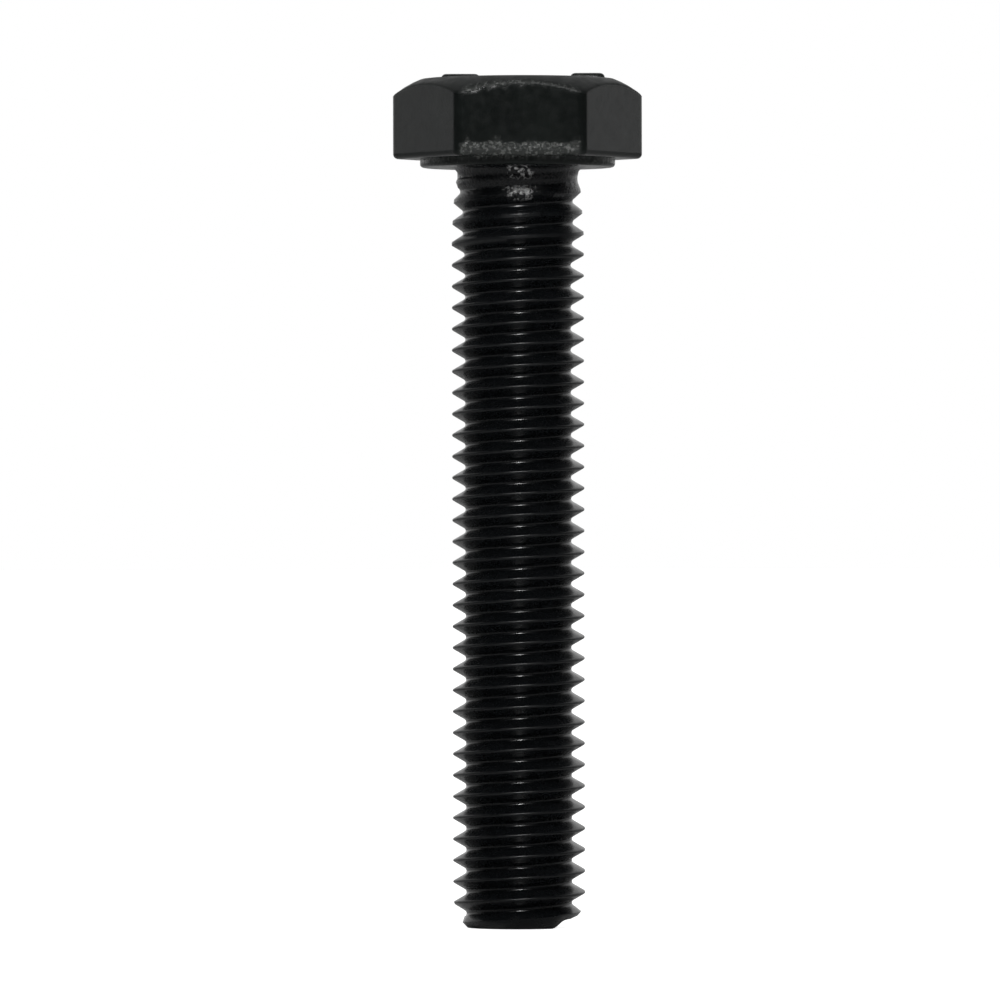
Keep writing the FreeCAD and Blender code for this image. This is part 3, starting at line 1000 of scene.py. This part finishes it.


# Its lighter specks are torn steel in the sheared band and along the burr, and painted sheen on
# the washer face's sides and on the raised marks.
FORGED_STEEL = BlackenedSteel(
    "forged_black_oxide", dark=(0.0074, 0.0092, 0.0087, 1.0), light=(0.0121, 0.0149, 0.0139, 1.0),
    sheen=0.22, grain=0.12, dulling=0.32, bare=(0.13, 0.136, 0.13, 1.0), fineness=4500.0,
    cover=0.28,
)
# Its near-white specks are painted glints, towards -Y in the fillet and the first groove.
ROLLED_STEEL = BlackenedSteel(
    "rolled_black_oxide", dark=(0.0044, 0.0053, 0.0060, 1.0), light=(0.0070, 0.0080, 0.0090, 1.0),
    sheen=0.24, grain=0.06, rough_mask=Mask.NECK, bare_mask=Mask.PAINTED_GLINT, dulling=0.12,
    bare=(0.40, 0.40, 0.40, 1.0), fineness=4500.0, specular=0.22,
)
CROPPED_STEEL = BlackenedSteel(
    "cropped_black_oxide", dark=(0.009, 0.010, 0.010, 1.0), light=(0.018, 0.018, 0.018, 1.0),
    sheen=0.45, grain=0.3, bare=(0.05, 0.05, 0.05, 1.0),
)


# ---- the bolt


@dataclass
class HexBolt:
    """The whole bolt: head and shank in one closed mesh, and the two raised marks."""

    head: Head
    shank: Shank
    marks: tuple
    crest_depth: tuple = (-0.10, -0.02)
    crests_below: tuple = (-1.5, -0.9)
    chamfer_below_edge: float = 0.12
    chamfer_inside: float = 0.3
    chamfer_front: tuple = (1.5, -0.5)

    @classmethod
    def from_frame(cls) -> "HexBolt":
        """Take the head's and the shank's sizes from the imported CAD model."""
        low, high = (np.array(corner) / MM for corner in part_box(NODE))
        head = Head(
            across_flats=high[1] - low[1] - MARGIN, across_corners=high[0] - low[0] - MARGIN,
            height=high[2] - HIGH_MARK_RISE,
        )
        shank = Shank(major=7.78, length=-low[2])
        marks = (
            RaisedMark("low_mark", inner=-2.20, outer=-4.50, rise=0.30),
            RaisedMark("high_mark", inner=3.10, outer=5.15, rise=HIGH_MARK_RISE),
        )
        return cls(head=head, shank=shank, marks=marks)

    def masks(self, places: np.ndarray) -> dict:
        """How torn, dull and scaly the steel is at each vertex, and where sheen and glints are
        painted.

        The oxide is dull on the thread's crests and on the chamfer's front half.

        Args:
            places: positions in millimetres.

        Returns:
            For each mask, a share from 0 to 1 for each vertex.
        """
        radius = np.hypot(places[:, 0], places[:, 1])
        crests, circle = self.shank.major / 2.0, self.head.chamfer_circle / 2.0
        crest = smooth_step(*(crests + depth for depth in self.crest_depth), radius)
        crest *= 1.0 - smooth_step(*self.crests_below, places[:, 2])
        angle = np.arctan2(places[:, 1], places[:, 0])
        above_edge = places[:, 2] > self.head.chamfer_edge(angle) - self.chamfer_below_edge
        outside = smooth_step(circle - self.chamfer_inside, circle, radius)
        in_front = smooth_step(*self.chamfer_front, places[:, 1])
        dull = np.maximum(crest, above_edge * (outside * in_front))
        return {Mask.TORN_AND_SHEEN: self.head.torn(places), Mask.DULL: dull,
                Mask.NECK: self.shank.neck_scale(places),
                Mask.PAINTED_GLINT: self.shank.bright_specks(places)}

    def build(self, finishes: Sequence) -> None:
        """Make the pieces and dress them in the finishes, in the order of Surface."""
        parts = MeshParts()
        rim, rim_angle = self.head.build(parts)
        self.shank.build(parts, rim, rim_angle)
        mesh = parts.mesh("bolt_steel")
        for mask, values in self.masks(np.concatenate(parts.places)).items():
            attribute = mesh.attributes.new(mask.value, "FLOAT", "POINT")
            attribute.data.foreach_set("value", values)
        steel = show(mesh, finishes)
        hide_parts(NODE)
        for mark in self.marks:
            bar = mark.mesh(self.head.height)
            # The marks' lighter specks are painted sheen.
            wear_and_sheen = bar.attributes.new(Mask.TORN_AND_SHEEN.value, "FLOAT", "POINT")
            wear_and_sheen.data.foreach_set("value", np.full(len(bar.vertices), mark.wear_and_sheen))
            show(bar, finishes[:1])


# ---- the studio


@dataclass(frozen=True)
class PaleFloor:
    """A plain white table top that shows its soft contact shadow only faintly."""

    size: float = 6.0
    glow: float = 0.93
    tint: tuple = (0.90, 0.90, 0.90, 1.0)

    def build(self, height: float) -> None:
        """Lay the floor at this height in metres."""
        half = self.size / 2.0
        mesh = bpy.data.meshes.new("floor")
        corners = [(-half, -half, height), (half, -half, height), (half, half, height),
                   (-half, half, height)]
        mesh.from_pydata(corners, [], [(0, 1, 2, 3)])
        floor = add_object("floor", mesh)
        mesh.materials.append(self.material())

    def material(self) -> bpy.types.Material:
        """White that glows only towards the camera, and that is clear from below."""
        made = bpy.data.materials.new("pale_floor")
        helper = own_nodes(made)
        path = helper.node("ShaderNodeLightPath")
        glow = helper.maths("MULTIPLY", path.outputs["Is Camera Ray"], self.glow)
        upper = helper.node("ShaderNodeBsdfPrincipled", {}, {
            "Base Color": self.tint, "Roughness": 0.9, "Specular IOR Level": 0.0,
            "Emission Color": (1.0, 1.0, 1.0, 1.0), "Emission Strength": glow,
        })
        under = helper.node("ShaderNodeBsdfTransparent")
        side = helper.node("ShaderNodeNewGeometry").outputs["Backfacing"]
        shader = helper.node("ShaderNodeMixShader", {}, {
            0: side, 1: upper.outputs["BSDF"], 2: under.outputs["BSDF"],
        })
        helper.node("ShaderNodeOutputMaterial", {}, {"Surface": shader.outputs["Shader"]})
        return made


@dataclass(frozen=True)
class StripLight:
    """A soft light turned towards the bolt, which either glints in the steel or fills."""

    name: str
    elevation: float
    width: float
    height: float
    watts: float
    azimuth: float = 1.3
    distance: float = 0.22
    glints: bool = True

    def build(self, target: np.ndarray) -> None:
        """Hang the light so that it faces the target, a place in metres."""
        turn, lift = math.radians(self.azimuth), math.radians(self.elevation)
        away = np.array([
            -math.sin(turn) * math.cos(lift), -math.cos(turn) * math.cos(lift), math.sin(lift),
        ])
        light = bpy.data.lights.new(self.name, "AREA")
        light.shape = "RECTANGLE"
        light.size = self.width
        light.size_y = self.height
        light.energy = self.watts
        lamp = add_object(self.name, light)
        lamp.location = target + away * self.distance
        lamp.rotation_euler = (math.pi / 2.0 - lift, 0.0, -turn)
        lamp.visible_camera = False
        lamp.visible_diffuse = not self.glints
        lamp.visible_glossy = self.glints


LIGHTS = (
    StripLight("root_strip", elevation=31.0, width=0.022, height=0.040, watts=0.42),
    StripLight("upper_strip", elevation=48.0, width=0.036, height=0.070, watts=0.13),
    StripLight("lower_strip", elevation=-34.0, width=0.030, height=0.060, watts=0.18),
    StripLight("back_strip", elevation=-32.0, width=0.036, height=0.060, watts=0.15,
               azimuth=181.3),
    StripLight("soft_fill", elevation=36.0, width=0.100, height=0.100, watts=0.20,
               glints=False),
)


@dataclass(frozen=True)
class WhiteRoom:
    """White all round to look at, but dim on the viewer's side where the bolt reflects it."""

    behind: float = 0.98
    in_front: float = 0.015
    viewer: tuple = (0.09, -1.0, 0.0)

    def build(self) -> None:
        """Make the world: brightness by the direction's y, and white to the camera."""
        world = bpy.data.worlds.new("white_room")
        bpy.context.scene.world = world
        helper = own_nodes(world)
        direction = helper.node("ShaderNodeTexCoord").outputs["Generated"]
        towards = helper.node("ShaderNodeVectorMath", {"operation": "DOT_PRODUCT"}, {
            0: direction, 1: self.viewer,
        }).outputs["Value"]
        room = helper.ramp(towards, -0.45, -0.10, self.behind, self.in_front)
        seen = helper.node("ShaderNodeLightPath").outputs["Is Camera Ray"]
        strength = helper.maths("MAXIMUM", room, seen)
        background = helper.node("ShaderNodeBackground", {}, {
            "Color": (1.0, 1.0, 1.0, 1.0), "Strength": strength,
        })
        helper.node("ShaderNodeOutputWorld", {}, {"Surface": background.outputs["Background"]})


@dataclass(frozen=True)
class LongLens:
    """The camera: level, far away, and turned a little past the middle of one flat."""

    azimuth: float = 1.34
    roll: float = 0.13
    lens: float = 360.0
    sensor: float = 36.0
    distance: float = 0.5884
    aim_height: float = -0.01956
    aside: float = 0.00108

    def build(self) -> None:
        """Place the camera and make it the scene's own."""
        turn = math.radians(self.azimuth)
        lens = bpy.data.cameras.new("camera")
        lens.lens = self.lens
        lens.sensor_width = self.sensor
        lens.clip_start = 0.01
        lens.clip_end = 20.0
        camera = add_object("camera", lens)
        right = np.array([math.cos(turn), -math.sin(turn), 0.0])
        back = np.array([-math.sin(turn), -math.cos(turn), 0.0])
        place = back * self.distance - right * self.aside
        camera.location = (place[0], place[1], self.aim_height)
        camera.rotation_euler = (math.pi / 2.0, math.radians(self.roll), -turn)
        bpy.context.scene.camera = camera


def main() -> None:
    """Build the bolt, its room, its lights and the camera, and report each piece."""
    logging.basicConfig(level=logging.INFO, format="%(name)s: %(message)s", stream=sys.stdout)
    low, high = (np.array(corner) for corner in CAD_BOX)
    oxide, wear_and_sheen = oxide_group(), wear_and_sheen_group()
    finishes = [f.material(oxide, wear_and_sheen) for f in (FORGED_STEEL, ROLLED_STEEL, CROPPED_STEEL)]
    HexBolt.from_frame().build(finishes)
    middle = (low + high) / 2.0
    PaleFloor().build(float(low[2]) - FLOOR_GAP * MM)
    WhiteRoom().build()
    upper_part = middle + np.array([0.0, 0.0, AIM_ABOVE_MIDDLE])
    for light in LIGHTS:
        light.build(upper_part)
    LongLens().build()
    bpy.context.scene.view_settings.view_transform = "Standard"


if __name__ == "__main__":
    main()
